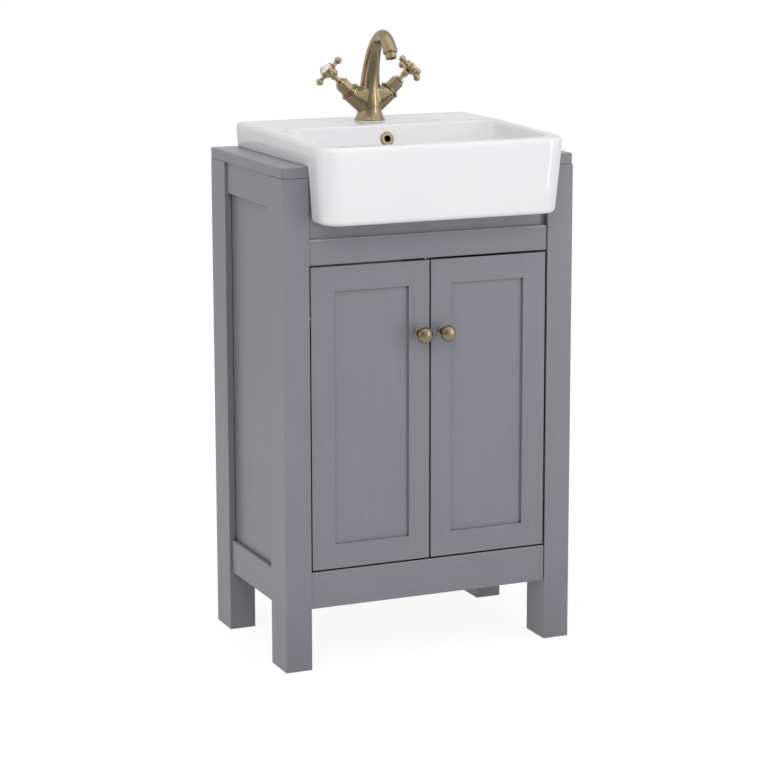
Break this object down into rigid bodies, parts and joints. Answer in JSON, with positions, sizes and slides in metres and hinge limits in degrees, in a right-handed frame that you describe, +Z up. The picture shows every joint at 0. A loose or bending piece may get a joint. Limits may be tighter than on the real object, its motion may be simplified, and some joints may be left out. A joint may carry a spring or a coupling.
{
  "type": "vanity unit",
  "caption": "Painted vanity cabinet on square legs, with paired doors, a semi-recessed ceramic basin, a swan-neck tap with cross handles, a push plug waste and a shelf.",
  "frame": {"origin": "on the floor, under the middle of the unit's plan box, halfway between the basin's front and the wall", "axes": "+X to the right seen from the front, +Y from the front to the wall, +Z up"},
  "size_m": [0.51, 0.394, 1.016],
  "materials": {
    "satin_grey_paint": "satin grey paint over timber, with faint brush marks",
    "grey_board": "matt grey painted board",
    "white_glaze": "gloss white glaze",
    "antique_brass": "antique brass, brushed and lightly aged",
    "zinc_steel": "zinc plated",
    "white_nylon": "moulded nylon",
    "black_rubber": "black rubber"
  },
  "bodies": {
    "cabinet": {"front_left_post": "satin_grey_paint", "front_right_post": "satin_grey_paint", "rear_left_post": "satin_grey_paint", "rear_right_post": "satin_grey_paint", "left_top_rail": "satin_grey_paint", "left_bottom_rail": "satin_grey_paint", "left_side_panel": "satin_grey_paint", "right_top_rail": "satin_grey_paint", "right_bottom_rail": "satin_grey_paint", "right_side_panel": "satin_grey_paint", "fascia_board": "satin_grey_paint", "front_rail": "satin_grey_paint", "front_bottom_rail": "satin_grey_paint", "rear_top_rail": "grey_board", "rear_bottom_rail": "grey_board", "back_panel": "grey_board", "base_panel": "grey_board", "shelf": "grey_board", "shelf_pins": "zinc_steel", "top_slab": "satin_grey_paint", "basin": "white_glaze", "overflow_ring": "antique_brass", "waste_body": "antique_brass", "waste_washers": "black_rubber", "waste_backnut": "white_nylon", "tap_body": "antique_brass", "tap_gasket": "white_nylon", "aerator": "antique_brass", "left_bonnet": "antique_brass", "right_bonnet": "antique_brass", "tap_stud": "zinc_steel", "tap_retaining_plate": "zinc_steel", "tap_nut": "zinc_steel", "hinge_arms": "zinc_steel", "hinge_screws": "zinc_steel"},
    "left_door": {"left_door_hinge_stile": "satin_grey_paint", "left_door_meeting_stile": "satin_grey_paint", "left_door_top_rail": "satin_grey_paint", "left_door_bottom_rail": "satin_grey_paint", "left_door_panel": "satin_grey_paint", "left_knob": "antique_brass", "left_knob_screw": "zinc_steel", "left_hinge_cups": "zinc_steel", "left_hinge_pins": "zinc_steel"},
    "right_door": {"right_door_hinge_stile": "satin_grey_paint", "right_door_meeting_stile": "satin_grey_paint", "right_door_top_rail": "satin_grey_paint", "right_door_bottom_rail": "satin_grey_paint", "right_door_panel": "satin_grey_paint", "right_knob": "antique_brass", "right_knob_screw": "zinc_steel", "right_hinge_cups": "zinc_steel", "right_hinge_pins": "zinc_steel"},
    "left_handle": {"left_spindle": "antique_brass", "left_cross_head": "antique_brass", "left_index_disc": "white_glaze"},
    "right_handle": {"right_spindle": "antique_brass", "right_cross_head": "antique_brass", "right_index_disc": "white_glaze"},
    "waste_plug": {"waste_plug": "antique_brass"}
  },
  "joints": [
    {"name": "left_door_hinge", "type": "hinge", "parent": "cabinet", "child": "left_door", "pos_m": [-0.191, -0.118, 0.4125], "axis": [0, 0, -1], "range_deg": [0, 100]},
    {"name": "right_door_hinge", "type": "hinge", "parent": "cabinet", "child": "right_door", "pos_m": [0.191, -0.118, 0.4125], "axis": [0, 0, 1], "range_deg": [0, 100]},
    {"name": "left_handle_turn", "type": "hinge", "parent": "cabinet", "child": "left_handle", "pos_m": [0, 0.119, 0.877], "axis": [-0.7314, 0, 0.682], "range_deg": [0, 90]},
    {"name": "right_handle_turn", "type": "hinge", "parent": "cabinet", "child": "right_handle", "pos_m": [0, 0.119, 0.877], "axis": [-0.7314, 0, -0.682], "range_deg": [0, 90]},
    {"name": "plug_slide", "type": "slide", "parent": "cabinet", "child": "waste_plug", "axis": [0, 0, 1], "range_m": [0, 0.008]}
  ]
}
